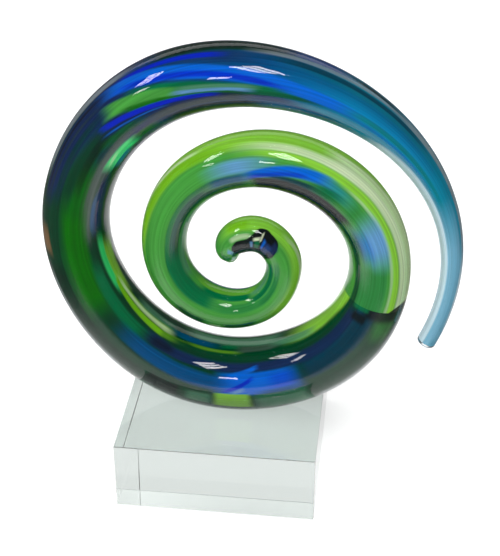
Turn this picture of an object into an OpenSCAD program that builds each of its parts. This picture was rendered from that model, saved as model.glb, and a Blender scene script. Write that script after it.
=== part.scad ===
// Koru spiral sculpture: a tapered rod of cased coloured glass, coiled into a
// spiral that stands on its belly and is bonded to a clear crystal block.
// Millimetres. Origin at the middle of the block's underside, +Z up, +Y to the
// back, so the front faces -Y.

/* [Base block] */
// Width of the block, side to side
base_w = 80; // [70:1:100]
// Depth of the block, front to back
base_d = 80; // [70:1:100]
// Height of the block
base_h = 30; // [20:1:40]
// Width of the polished bevel along every edge
base_bevel = 0.8; // [0.4:0.1:2]

/* [Coil] */
// Reach of the tail tip from the coil centre
tail_reach = 78.5; // [75:0.5:84]
// Reach to which the coil winds in at the eye
eye_reach = 5.5; // [5:0.5:7]
// Angle of the tail tip from +X, counter-clockwise as seen from the front
tail_angle = -24; // [-40:1:-10]
// Coil centre to the right of the block's centre
coil_x = 8; // [-10:0.5:12]
// Coil plane behind the block's centre, less than zero when in front
coil_y = -5; // [-10:0.5:10]

/* [Rod] */
// Rod diameter at the cut tail tip
tail_d = 7.5; // [6:0.5:10]
// Rod diameter at the shoulder, where the tail has swollen out
shoulder_d = 25.5; // [22:0.5:28]
// Rod diameter at the belly, its thickest place
belly_d = 30; // [28:0.5:32]
// Rod diameter at the waist, past the belly on the way in
waist_d = 23; // [20:0.5:25]
// Rod diameter at the neck, half a turn further in
neck_d = 17.5; // [16:0.5:19]
// Rod diameter next to the rounded inner end
eye_d = 14; // [12:0.5:15]
// Clear casing wall on the outer turn, as a share of the rod diameter
outer_wall_share = 0.16; // [0.14:0.01:0.24]
// Clear casing wall on the inner turn, as a share of the rod diameter
inner_wall_share = 0.12; // [0.1:0.01:0.16]

/* [Colours] */
// Angle along the coil, from the tail tip, at which the aqua section ends
aqua_end_angle = 105; // [95:1:140]
// Angle along the coil at which the lime section begins
lime_start_angle = 371; // [340:1:385]
// Depth of the coloured ribbons let into the core
ribbon_t = 1.8; // [1:0.1:2.4]

/* [Bond] */
// Thickness of the cured adhesive film
bond_t = 0.2; // [0.1:0.05:0.5]
// Depth of the flat ground under the belly
foot_flat = 0.6; // [0.4:0.1:1]

/* [Hidden] */

// Places along the rod are counted in eighth turns from the tail tip.
// What the hand added to the even coil, in millimetres of reach at each eighth turn
hand_bend = [0, 5, 7.5, 9.5, 4.5, -1.5, -3, -3, 1, 5, 4.5, 1,
    -3.5, -5.5, -7, -7.5, -7, -4, -1.5, -1.5, -2.5, 1];
last = len(hand_bend) - 1;
// Where the rod has each of its named diameters
swell = [[0, tail_d], [3.4, shoulder_d], [6.7, belly_d], [9.2, waist_d], [12.4, neck_d],
    [16.5, eye_d], [last, eye_d]];
// The rod rounds off from here to its inner tip, and the coloured core rounds off inside it
round_at = 18.2;
rod_tip = 20.5;
core_last = 20;
core_tip = 20.1;
aqua_last = aqua_end_angle / 45;
lime_first = lime_start_angle / 45;

// Sides of the rod, and steps along each of its sections
sides = 18;
aqua_steps = 11;
emerald_steps = 26;
lime_steps = 50;
end_steps = 5;
// Room left between fused glasses so that flat facets do not cross
seam = 0.05;

function mix(a, b, share) = a + (b - a) * share;
function ease(share) = pow(share, 3) * (10 - 15 * share + 6 * share * share);

// Smooth curve through a list of values, one for each eighth turn
function curve(list, t) =
    let (end = len(list) - 1, place = min(t, end), i = min(floor(place), end - 1), f = place - i)
    let (a = list[max(i - 1, 0)], b = list[i], c = list[i + 1], d = list[min(i + 2, end)])
    b + f * (c - a) / 2 + f * f * (a - 2.5 * b + 2 * c - d / 2) + f * f * f * (1.5 * (b - c) + (d - a) / 2);

function angle(t) = tail_angle + 45 * t;
function reach(t) = mix(tail_reach, eye_reach, t / last) + curve(hand_bend, t);

// The diameter eases from each named place to the next
function swell_step(t, i = 0) = t <= swell[i + 1][0] ? i : swell_step(t, i + 1);
function rod_d(t) =
    let (i = swell_step(t), a = swell[i], b = swell[i + 1])
    mix(a[1], b[1], ease((t - a[0]) / (b[0] - a[0])));
function rounded(t, tip) = t < round_at ? 1 : pow(1 - pow((t - round_at) / (tip - round_at), 2), 0.7);
function rod_r(t) = rod_d(t) / 2 * rounded(t, rod_tip);

// The wall thins from its outer to its inner share on the way into the lime section
function wall_share(t) =
    let (share = min(max((t - lime_first + 2) / 3, 0), 1))
    mix(outer_wall_share, inner_wall_share, ease(share));
function bore_r(t) = rod_d(t) * (0.5 - wall_share(t)) * rounded(t, core_tip);
function core_r(t) = bore_r(t) * cos(180 / sides) - seam;
// Ribbons keep their depth until the core rounds off, where they thin out with it
function groove_r(t) = core_r(t) - min(ribbon_t, core_r(t) / 2);

// Steps along the rod; the casing uses the same ones as the sections inside it
function steps(from, to, count) = [for (i = [0 : count]) mix(from, to, i / count)];
function rest(list) = [for (i = [1 : len(list) - 1]) list[i]];
function turned(list) = [for (i = [len(list) - 1 : -1 : 0]) list[i]];
aqua_t = steps(0, aqua_last, aqua_steps);
emerald_t = steps(aqua_last, lime_first, emerald_steps);
lime_t = steps(lime_first, core_last, lime_steps);
bore_t = concat(aqua_t, rest(emerald_t), rest(lime_t));
end_t = [for (i = [1 : end_steps]) mix(core_last, rod_tip, sin(86 * i / end_steps))];
rod_t = concat(bore_t, end_t);

// The flat under the belly sits on the film, which fixes the height of the coil
flat_z = base_h + bond_t;
lows = [for (t = emerald_t) reach(t) * sin(angle(t)) - rod_r(t)];
low = min(lows);
low_t = emerald_t[search(low, lows)[0]];
coil_z = flat_z - foot_flat - low;
foot_x = coil_x + reach(low_t) * cos(angle(low_t));
bond_a = sqrt(2 * (reach(low_t) + rod_r(low_t)) * foot_flat);
bond_b = sqrt(2 * rod_r(low_t) * foot_flat);

// Middle of the rod, its direction, and the outward side of the coil
function middle(t) = [coil_x + reach(t) * cos(angle(t)), coil_y, coil_z + reach(t) * sin(angle(t))];
function ahead(t) = middle(min(t + 0.02, last)) - middle(max(t - 0.02, 0));
function outward(t) = let (v = ahead(t)) [v[2], 0, -v[0]] / norm(v);

// A point of the rod's cross-section: 0 degrees is outward, 90 to the front, 180 inward
function at(t, r, turn) = middle(t) + r * (cos(turn) * outward(t) + sin(turn) * [0, -1, 0]);
function ring(t, r) = [for (i = [0 : sides - 1]) at(t, r, 360 * i / sides)];
function grounded(points) = [for (p = points) [p[0], p[1], max(p[2], flat_z)]];

// Ribbons round the rod: the turn of each edge at every eighth turn, counted from the start of the
// section. The hot rod was twisted past the tail, so the outer ribbons wind outward and then settle.
function wide(width, list) = [list, [for (turn = list) turn + width]];
cobalt_front = wide(22, [73, 32, -46, -85, -92, -92, -92, -92]);
lime_front = wide(14, [108, 79, 0, -42, -58, -58, -58, -58]);
cobalt_inner = wide(14, [126, 97, 26, -12, -32, -32, -32, -32]);
cobalt_belly = wide(38, [200, 176, 142, 106, 88, 74, 76, 78]);
lime_inner = wide(18, [262, 244, 204, 166, 145, 146, 148, 149]);
cobalt_back = wide(28, [300, 282, 258, 240, 232, 232, 232, 232]);
// On the inner turn the milky line drifts outward, and the lining narrows until it reaches the eye
milk = wide(14, [23, 23, 21, 15, 8, 3, 3, 3, 3, 3, 3, 3, 3, 3]);
lining_near = [62, 62, 60, 88, 98, 110, 120, 122, 122, 115, 42, 72, 80, 80];
lining = [lining_near, [for (turn = lining_near) 245]];
outer_ribbons = [cobalt_front, lime_front, cobalt_inner, cobalt_belly, lime_inner, cobalt_back];
inner_ribbons = [milk, lining];
function edge(ribbon, side, t, list) = curve(ribbon[side], t - floor(list[0]));

// Turns across a ribbon, and the number of facets that an arc gets
function arc_parts(width) = ceil(width / 20);
function arc(ribbon, t, list) =
    steps(edge(ribbon, 0, t, list), edge(ribbon, 1, t, list), arc_parts(ribbon[1][0] - ribbon[0][0]));

// Cross-section of a core with its ribbons let in: deep at each ribbon, full between them
function notched(t, list, ribbons) =
    [for (i = [0 : len(ribbons) - 1])
        let (ribbon = ribbons[i], next = ribbons[(i + 1) % len(ribbons)])
        let (lap = i < len(ribbons) - 1 ? 0 : 360)
        let (from = edge(ribbon, 1, t, list), to = edge(next, 0, t, list) + lap)
        let (parts = arc_parts(next[0][0] + lap - ribbon[1][0]))
        each concat(
            [at(t, core_r(t), edge(ribbon, 0, t, list))],
            [for (turn = arc(ribbon, t, list)) at(t, groove_r(t), turn)],
            [for (j = [0 : parts - 1]) at(t, core_r(t), mix(from, to, j / parts))])];
function strip(t, list, ribbon) =
    let (turns = arc(ribbon, t, list))
    concat([for (turn = turns) at(t, core_r(t), turn)],
        [for (turn = turned(turns)) at(t, groove_r(t), turn)]);

// Closed solid through a row of flat rings. A ribbon's facets are split the other way, because its
// rings run back along the core's, so that the two meet face to face.
module loft(rings, ribbon = false)
{
    count = len(rings[0]);
    final = (len(rings) - 1) * count;
    walls = [for (i = [0 : len(rings) - 2], j = [0 : count - 1])
        let (a = i * count + j, b = i * count + (j + 1) % count)
        each ribbon
            ? [[a, b, a + count], [b, b + count, a + count]]
            : [[a, b, b + count], [a, b + count, a + count]]];
    start_cap = [for (j = [count - 1 : -1 : 0]) j];
    end_cap = [for (j = [0 : count - 1]) final + j];
    polyhedron([for (r = rings) each r], concat(walls, [start_cap, end_cap]));
}

module core_section(list, ribbons)
{
    loft([for (t = list) notched(t, list, ribbons)]);
}

module ribbon_strip(list, ribbon)
{
    loft([for (t = list) strip(t, list, ribbon)], ribbon = true);
}

// Outline of a rectangle with its corners cut off
module cut_rectangle(w, h, cut)
{
    polygon([[cut - w / 2, -h / 2], [w / 2 - cut, -h / 2], [w / 2, cut - h / 2], [w / 2, h / 2 - cut],
        [w / 2 - cut, h / 2], [cut - w / 2, h / 2], [-w / 2, h / 2 - cut], [-w / 2, cut - h / 2]]);
}

// Clear crystal block with all its edges bevelled
module base_block()
{
    color([0.9, 0.94, 0.93, 0.4])
        translate([0, 0, base_h / 2])
            intersection() {
                linear_extrude(base_h, center = true)
                    cut_rectangle(base_w, base_d, base_bevel);
                rotate([90, 0, 0]) linear_extrude(base_d, center = true)
                    cut_rectangle(base_w, base_h, base_bevel);
                rotate([90, 0, 90]) linear_extrude(base_w, center = true)
                    cut_rectangle(base_d, base_h, base_bevel);
            }
}

// Film of clear adhesive between the block and the flat under the belly
module adhesive_bond()
{
    color([0.85, 0.9, 0.8, 0.5])
        translate([foot_x, coil_y, base_h])
            linear_extrude(bond_t)
                polygon([for (i = [0 : 23]) [bond_a * cos(15 * i), bond_b * sin(15 * i)]]);
}

// Clear outer glass: the rod's skin, with a bore for the colours that opens at the cut tail
module clear_casing()
{
    bore = [for (t = turned(bore_t)) ring(t, bore_r(t))];
    skin = [for (t = rod_t) grounded(ring(t, rod_r(t)))];
    color([0.9, 0.95, 0.95, 0.35])
        loft(concat(bore, skin));
}

// Coloured glass inside the casing, section by section from the tail
module aqua_core()
{
    color([0.1, 0.5, 0.65])
        loft([for (t = aqua_t) ring(t, core_r(t))]);
}

module emerald_core()
{
    color([0.02, 0.4, 0.12]) core_section(emerald_t, outer_ribbons);
}

module lime_core()
{
    color([0.55, 0.8, 0.15]) core_section(lime_t, inner_ribbons);
}

// Ribbons of colour let into the emerald section
module cobalt_ribbon_front()
{
    color([0.02, 0.15, 0.8]) ribbon_strip(emerald_t, cobalt_front);
}

module cobalt_ribbon_inner()
{
    color([0.02, 0.15, 0.8]) ribbon_strip(emerald_t, cobalt_inner);
}

module cobalt_ribbon_belly()
{
    color([0.02, 0.15, 0.8]) ribbon_strip(emerald_t, cobalt_belly);
}

module cobalt_ribbon_back()
{
    color([0.02, 0.15, 0.8]) ribbon_strip(emerald_t, cobalt_back);
}

module lime_ribbon_front()
{
    color([0.55, 0.8, 0.15]) ribbon_strip(emerald_t, lime_front);
}

module lime_ribbon_inner()
{
    color([0.55, 0.8, 0.15]) ribbon_strip(emerald_t, lime_inner);
}

// Ribbons let into the lime section: cobalt all along its inward side, and a milky line in front
module cobalt_lining()
{
    color([0.05, 0.3, 0.75]) ribbon_strip(lime_t, lining);
}

module milk_ribbon()
{
    color([0.9, 0.95, 0.85]) ribbon_strip(lime_t, milk);
}

base_block();
adhesive_bond();
clear_casing();
aqua_core();
emerald_core();
lime_core();
cobalt_ribbon_front();
cobalt_ribbon_inner();
cobalt_ribbon_belly();
cobalt_ribbon_back();
lime_ribbon_front();
lime_ribbon_inner();
cobalt_lining();
milk_ribbon();
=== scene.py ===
import math

import bpy
import numpy as np
from bpy.props import FloatProperty, FloatVectorProperty, PointerProperty
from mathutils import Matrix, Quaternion, Vector


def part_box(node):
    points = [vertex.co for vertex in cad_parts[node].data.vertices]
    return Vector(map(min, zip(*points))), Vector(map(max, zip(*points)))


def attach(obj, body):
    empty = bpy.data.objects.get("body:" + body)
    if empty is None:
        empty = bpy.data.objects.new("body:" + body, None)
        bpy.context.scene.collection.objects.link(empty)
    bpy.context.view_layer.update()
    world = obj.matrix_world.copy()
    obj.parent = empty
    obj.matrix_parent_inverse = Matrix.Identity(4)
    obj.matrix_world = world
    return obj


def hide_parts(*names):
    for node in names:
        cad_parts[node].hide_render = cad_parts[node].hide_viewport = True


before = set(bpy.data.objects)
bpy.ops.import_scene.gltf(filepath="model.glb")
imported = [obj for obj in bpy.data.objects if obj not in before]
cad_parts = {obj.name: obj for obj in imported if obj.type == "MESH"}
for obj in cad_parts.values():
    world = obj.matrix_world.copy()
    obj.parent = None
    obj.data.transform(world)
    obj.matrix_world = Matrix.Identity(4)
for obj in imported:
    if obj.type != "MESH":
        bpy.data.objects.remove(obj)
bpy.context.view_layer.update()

bl_info = {
    "name": "Koru spiral sculpture",
    "version": (1, 0, 0),
    "blender": (4, 5, 0),
    "location": "View3D > Sidebar > Koru",
    "description": "Coiled rod of cased and streaked glass, bonded to a clear crystal block",
    "category": "Add Mesh",
}

BASE_LOW, BASE_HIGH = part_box("base_block")
FILM_LOW, FILM_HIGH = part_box("adhesive_bond")
ROD_LOW, ROD_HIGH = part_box("clear_casing")
MM = 0.001

# The rod. Places along it are counted in eighth turns from the tail tip, and turns round it in
# degrees: 0 outward from the coil, 90 to the front, 180 inward.

# What the hand added to the even coil, in millimetres of reach at each eighth turn
HAND_BEND = (0, 5, 7.5, 9.5, 4.5, -1.5, -3, -3, 1, 5, 4.5, 1,
             -3.5, -5.5, -7, -7.5, -7, -4, -1.5, -1.5, -2.5, 1)
LAST = len(HAND_BEND) - 1
# Where the rod reaches its named diameters, from the tail to the eye
SWELL_PLACES = (0, 3.4, 6.7, 9.2, 12.4, 16.5, LAST)
# Where the rod begins to round off, and where its surface and its core would close to a point
ROUND_AT = 18.2
ROD_TIP = 20.5
CORE_TIP = 20.1
ROUNDING_POWER = 0.7
# The core begins just inside the cut tail and is cut square a little short of its tip
CORE_FIRST = 0.02
CORE_LAST = 20
# Degrees in an eighth turn
EIGHTH = 45
# The bore has flat sides, and the core keeps a fine seam inside them
BORE_SIDES = 18
SEAM = 0.05 * MM
# Radius of the fire-polished edge of the cut tail
TAIL_POLISH = 1.4 * MM
# Steps of the meshes: to an eighth turn, round the rod, and over its rounded end as far as this angle
STEPS_ALONG = 25
STEPS_ROUND = 72
STEPS_OVER_END = 60
END_ANGLE = 87

# Ribbons let into the core of the outer turn: node, glass, width, and the turn of the near edge at
# each eighth turn
OUTER_RIBBONS = (
    ("cobalt_ribbon_front", "cobalt_glass", 22, (73, 32, -46, -85, -92, -92, -92, -92)),
    ("lime_ribbon_front", "lime_glass", 14, (108, 79, 0, -42, -58, -58, -58, -58)),
    ("cobalt_ribbon_inner", "cobalt_glass", 14, (126, 97, 26, -12, -32, -32, -32, -32)),
    ("cobalt_ribbon_belly", "cobalt_glass", 38, (200, 176, 142, 106, 88, 74, 76, 78)),
    ("lime_ribbon_inner", "lime_glass", 18, (262, 244, 204, 166, 145, 146, 148, 149)),
    ("cobalt_ribbon_back", "cobalt_glass", 28, (300, 282, 258, 240, 232, 232, 232, 232)),
)
# The milky line and the cobalt lining of the inner turn, by their edges
MILK_WIDTH = 14
MILK_NEAR = (23, 23, 21, 15, 8, 3, 3, 3, 3, 3, 3, 3, 3, 3)
LINING_NEAR = (62, 62, 60, 88, 98, 110, 120, 122, 122, 115, 42, 72, 80, 80)
LINING_FAR = 245

# Colour rods drawn out in the hot glass, and among them painted highlights, glints, reflections and
# shade.
# Each has a colour, half its width and its soft edge in degrees, its strength, how long its ends fade
# in eighth turns, and its path of (place, turn).
# A base lists the body colour at places along the rod.
# The clear wall of the outer turn works as a lens, so there the turns are those that it shows.

# Turn away from the side that faces the viewer, and the turn at which the lens shows it
LENS = ((0, 0), (60, 67), (90, 116), (126, 150), (180, 180))
# The lens fades out between these places
LENS_ENDS = (6.2, 9.2)
# The viewer looks down by about this much, so the facing side swings round the rod along the coil
FACING_SWING = 32
# Share of the listed soft edge that is used along a streak
EDGE_SOFTNESS = 0.65
# Streaks wander by up to this many degrees, in waves of this scale
SWAY = 4
SWAY_SCALE = 1.6
# Fine threads along the rod lighten and darken the glass by up to this share, over this range of noise
THREAD_SCALE = (14, 14, 0.6)
THREAD_DEPTH = 0.2
THREAD_RANGE = (0.3, 0.7)
TAIL_BASE = ((0, "aqua"), (0.75, "aqua"), (1.1, "teal"), (1.9, "teal"), (2.4, "petrol"),
             (3.3, "navy"))
TAIL_STREAKS = (
    ("teal", 60, 30, 0.5, 0.06, ((-0.1, 20), (0.06, 20))),
    # Painted light: the pale background seen through the clear inner edge of the tail
    ("painted_edge_light", 46, 14, 0.9, 0.1, ((-0.5, 178), (0.9, 168), (1.3, 174), (1.65, 200))),
    # Painted highlight on the tail's outer rim
    ("painted_edge_light", 24, 14, 0.9, 0.1, ((0.2, -16), (0.62, -18))),
    # Painted reflection along the outer rim
    ("painted_rim_reflection", 28, 10, 0.8, 0.15, ((0.7, -28), (1.6, -26))),
    ("teal", 14, 10, 0.8, 0.15, ((0.75, 12), (1.4, 12))),
)
SHOULDER_STREAKS = (
    ("slate", 16, 8, 0.9, 0.1, ((1.65, -44), (1.95, -48))),
    ("denim", 30, 10, 1, 0.1, ((1.98, -50), (2.5, -48))),
    ("bottle", 38, 10, 0.95, 0.12, ((2.3, -40), (3, -36))),
    ("ink", 30, 10, 0.6, 0.12, ((2.3, -40), (3, -36))),
    # Painted reflection along the outer rim
    ("painted_rim_reflection", 10, 8, 0.6, 0.12, ((1.6, -20), (2, -12), (2.45, -6))),
    ("deep_teal", 10, 7, 0.9, 0.2, ((1.4, 13), (2.4, 13))),
    ("azure", 22, 14, 0.25, 0.25, ((1.3, 62), (1.9, 58), (2.3, 48))),
    ("deep_teal", 20, 12, 0.4, 0.25, ((1.3, 40), (2.3, 36))),
    ("emerald", 8, 8, 0.45, 0.2, ((1.1, 86), (1.9, 88))),
    ("azure", 7, 7, 0.4, 0.15, ((1.3, 106), (1.9, 108))),
    ("teal", 14, 8, 0.7, 0.2, ((1.5, 134), (2.2, 136))),
    ("deep_teal", 18, 8, 0.7, 0.12, ((1.85, 176), (2.3, 178))),
    ("navy", 14, 8, 0.8, 0.12, ((2.2, 138), (2.5, 136))),
    ("slate", 16, 7, 0.95, 0.12, ((2.5, 138), (3.15, 136))),
    ("petrol", 16, 8, 0.8, 0.15, ((2, 166), (2.35, 168))),
    ("ink", 22, 9, 0.95, 0.12, ((2.4, 180), (3.05, 178))),
    # Painted reflection haze
    ("painted_haze", 10, 6, 0.8, 0.1, ((2.2, 204), (3, 204))),
    ("bottle", 9, 6, 0.8, 0.12, ((2.1, 106), (2.5, 118), (2.7, 122))),
    ("emerald", 8, 5, 0.7, 0.08, ((2.15, 108), (2.5, 114))),
    ("navy", 16, 10, 0.7, 0.2, ((2.5, 22), (2.8, 14))),
    ("cobalt", 8, 5, 0.95, 0.08, ((2.65, 16), (3.05, 6), (3.2, 4))),
    ("azure", 17, 6, 0.95, 0.12, ((1.9, 92), (2.1, 89), (2.4, 76), (2.6, 65), (2.8, 52), (3, 36),
                                  (3.3, 14))),
    ("cobalt", 7, 6, 0.85, 0.12, ((2.3, 90), (2.6, 70), (2.8, 58), (3, 46), (3.2, 30))),
    ("emerald", 11, 7, 1, 0.1, ((2.3, 102), (2.6, 97), (2.85, 82), (3, 70), (3.15, 54))),
    ("leaf", 14, 6, 1, 0.06, ((2.9, 92), (3.05, 78), (3.2, 64), (3.36, 54))),
    ("grass", 5, 4, 0.8, 0.06, ((2.95, 98), (3.1, 86), (3.25, 74))),
    ("sage", 6, 5, 0.8, 0.06, ((2.45, 98), (2.7, 93), (2.9, 86))),
    ("sky", 6, 4, 0.9, 0.06, ((2.48, 108), (2.7, 103), (2.92, 93))),
    ("grass", 4, 3, 0.9, 0.06, ((2.55, 114), (2.8, 106), (3.05, 92), (3.2, 82))),
    ("navy", 8, 5, 0.9, 0.06, ((2.6, 124), (2.9, 118), (3.2, 103), (3.45, 88))),
    ("cobalt", 6, 3.5, 1, 0.05, ((2.68, 118), (2.9, 109), (3.1, 98), (3.3, 84), (3.43, 74))),
    ("azure", 2, 2, 0.7, 0.05, ((3, 114), (3.25, 101), (3.46, 87))),
)
BELLY_BASE = ((1.9, "teal"), (2.4, "petrol"), (3.3, "navy"), (3.8, "bottle"), (8.3, "bottle"))
# The belly's streaks begin here; those of the crook lie across the change
BELLY_FROM = 3.52
CROOK_STREAKS = (
    # Painted reflection along the outer rim
    ("painted_rim_reflection", 20, 10, 0.7, 0.1, ((3.15, -32), (3.9, -28))),
    ("denim", 10, 6, 0.6, 0.05, ((3, -20), (3.2, -12))),
    ("navy", 30, 9, 1, 0.1, ((3.35, 32), (4.05, 26))),
    ("bottle", 6, 5, 0.6, 0.12, ((3.42, 52), (4, 48))),
    ("slate", 4, 3, 0.7, 0.12, ((3.4, 32), (4, 24))),
    ("ink", 4, 3, 0.7, 0.12, ((3.36, 12), (4, 8))),
    ("bottle", 16, 9, 0.9, 0.1, ((3.45, 88), (4.1, 76))),
    ("grass", 18, 10, 0.7, 0.15, ((3.7, 104), (4.1, 100))),
    ("ink", 8, 6, 0.6, 0.1, ((3.45, 90), (3.9, 92))),
    ("grass", 10, 7, 0.6, 0.1, ((3.2, 118), (3.5, 104))),
    # Painted reflection haze
    ("painted_haze", 10, 6, 0.85, 0.15, ((3.3, 126), (4.3, 128))),
    ("grass", 14, 8, 0.9, 0.08, ((3.15, 166), (3.35, 162))),
    # Painted glint of light through the glass, and a paler painted glint beside it
    ("painted_glint", 20, 8, 1, 0.07, ((3.35, 162), (3.5, 158), (3.66, 154))),
    ("milk", 6, 6, 0.5, 0.06, ((3.52, 146), (3.62, 150))),
    ("teal", 8, 5, 0.9, 0.05, ((3.45, 182), (3.62, 184))),
    ("cobalt", 14, 6, 0.9, 0.15, ((3.5, 282), (4, 276), (5, 272), (8.2, 271))),
    ("leaf", 8, 5, 0.9, 0.3, ((2.4, 272), (3.2, 250), (3.8, 236))),
    ("cobalt", 10, 5, 0.9, 0.3, ((3.8, -60), (4.4, -64), (5, -66), (8.2, -66))),
)
BELLY_STREAKS = (
    ("navy", 20, 8, 1, 0.08, ((3.76, 168), (4.25, 170))),
    # Painted reflection haze
    ("painted_haze", 16, 9, 0.9, 0.12, ((3.7, 206), (4.25, 210))),
    ("petrol", 8, 6, 0.9, 0.08, ((3.92, 150), (4.1, 146), (4.26, 150))),
    ("grass", 32, 10, 1, 0.15, ((4.05, 95), (4.95, 92))),
    ("bottle", 9, 9, 0.6, 0.15, ((4.1, 64), (4.95, 68))),
    ("bottle", 14, 9, 0.85, 0.12, ((4, 48), (4.35, 52))),
    # Painted reflection of a brown fleck at the outer rim
    ("painted_brown_reflection", 30, 10, 0.8, 0.06, ((4.27, -8), (4.44, -2))),
    ("bottle", 34, 14, 0.9, 0.06, ((4.55, 26), (5.6, 28))),
    ("ink", 30, 12, 0.4, 0.06, ((4.55, 32), (5.6, 34))),
    # Painted reflection along the outer rim
    ("painted_rim_reflection", 16, 14, 0.6, 0.12, ((4.6, -18), (5.5, -16))),
    ("ink", 34, 9, 0.9, 0.04, ((5.67, 34), (5.97, 34))),
    ("emerald", 14, 9, 0.95, 0.15, ((4.6, 134), (5.4, 132))),
    ("bottle", 8, 6, 0.8, 0.15, ((4.6, 156), (5.5, 152))),
    # Painted glow of light through the glass on the inward side
    ("painted_glint", 14, 9, 0.7, 0.1, ((4.35, 174), (4.9, 172))),
    ("lime", 20, 9, 0.8, 0.12, ((4.42, 206), (4.95, 198))),
    ("lime", 12, 8, 0.7, 0.1, ((4.75, 196), (5.2, 190), (5.65, 182))),
    ("milk", 8, 6, 0.6, 0.1, ((4.85, 194), (5.2, 187), (5.65, 180))),
    ("moss", 8, 4, 1, 0.05, ((4.8, 180), (5, 171), (5.3, 165), (5.57, 161))),
    ("moss", 8, 5, 0.55, 0.06, ((5.57, 163), (5.85, 165))),
    ("bottle", 9, 6, 0.9, 0.15, ((5, 79), (6.35, 77))),
    ("petrol", 16, 8, 1, 0.2, ((5.28, 107), (5.6, 106), (6, 102), (6.4, 98))),
    ("azure", 27, 8, 1, 0.14, ((6.35, 98), (7.1, 97))),
    ("cobalt", 16, 9, 0.45, 0.1, ((6.85, 100), (7.1, 100))),
    ("petrol", 10, 9, 0.9, 0.14, ((6.72, 74), (7.1, 74))),
    ("sky", 5, 4, 0.8, 0.04, ((6.44, 76), (6.56, 88))),
    ("cobalt", 5, 4, 0.9, 0.05, ((6.36, 80), (6.5, 94), (6.66, 112))),
    ("navy", 12, 6, 0.95, 0.12, ((5.45, 138), (6.3, 138), (7.3, 134))),
    ("azure", 5, 4, 0.9, 0.05, ((6.42, 118), (6.55, 124), (6.72, 134))),
    ("ink", 9, 6, 0.6, 0.06, ((5.5, 136), (5.75, 140))),
    ("bottle", 12, 7, 0.95, 0.12, ((5.7, 158), (7.9, 156))),
    ("moss", 4, 4, 0.5, 0.1, ((5.9, 173), (6.5, 172))),
    ("sage", 26, 12, 0.85, 0.05, ((6.05, 36), (6.25, 38))),
    ("sage", 30, 12, 0.8, 0.06, ((6.66, 30), (7.12, 30))),
    ("emerald", 8, 6, 0.8, 0.06, ((6.65, 64), (7.15, 62))),
    # Painted reflection: lime glass glimpsed where the belly meets the block
    ("lime", 34, 4, 1, 0.04, ((6.29, 40), (6.6, 40))),
    ("bottle", 38, 10, 0.8, 0.1, ((7.2, 46), (8.3, 46))),
    ("leaf", 24, 14, 0.4, 0.1, ((7.95, 44), (8.3, 50))),
    # Painted reflection along the outer rim
    ("painted_rim_reflection", 12, 9, 0.7, 0.08, ((7.2, -4), (8.2, -4))),
    ("deep_teal", 20, 7, 1, 0.1, ((7.22, 102), (8.3, 100))),
    ("navy", 12, 7, 0.9, 0.1, ((7.25, 132), (8.15, 130))),
    ("petrol", 11, 6, 0.85, 0.15, ((5.7, 191), (6.2, 191))),
    ("emerald", 8, 5, 0.8, 0.06, ((6.3, 192), (6.5, 192))),
    ("sage", 16, 8, 0.7, 0.1, ((5.2, 210), (5.65, 208))),
    ("sage", 26, 12, 0.9, 0.15, ((5.9, 232), (6.4, 226), (7, 216))),
    # Painted reflection haze
    ("painted_haze", 10, 6, 0.7, 0.1, ((6.5, 183), (7, 183))),
    ("lime", 34, 12, 0.95, 0.25, ((7.25, 206), (8.4, 202))),
    ("lime", 12, 8, 1, 0.15, ((7.95, 178), (8.15, 170), (8.4, 160))),
    ("sage", 12, 8, 0.8, 0.12, ((6.95, 192), (7.5, 182))),
    ("ink", 40, 14, 0.9, 0.04, ((8.14, 64), (8.3, 64))),
    ("ink", 16, 8, 0.9, 0.03, ((8.06, 112), (8.16, 112))),
    ("emerald", 18, 8, 0.9, 0.02, ((8.2, 116), (8.4, 116))),
    ("grass", 26, 16, 0.8, 0.3, ((4.2, 280), (8, 274))),
)
CURL_BASE = ((8, "leaf"), (LAST, "leaf"))
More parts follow.
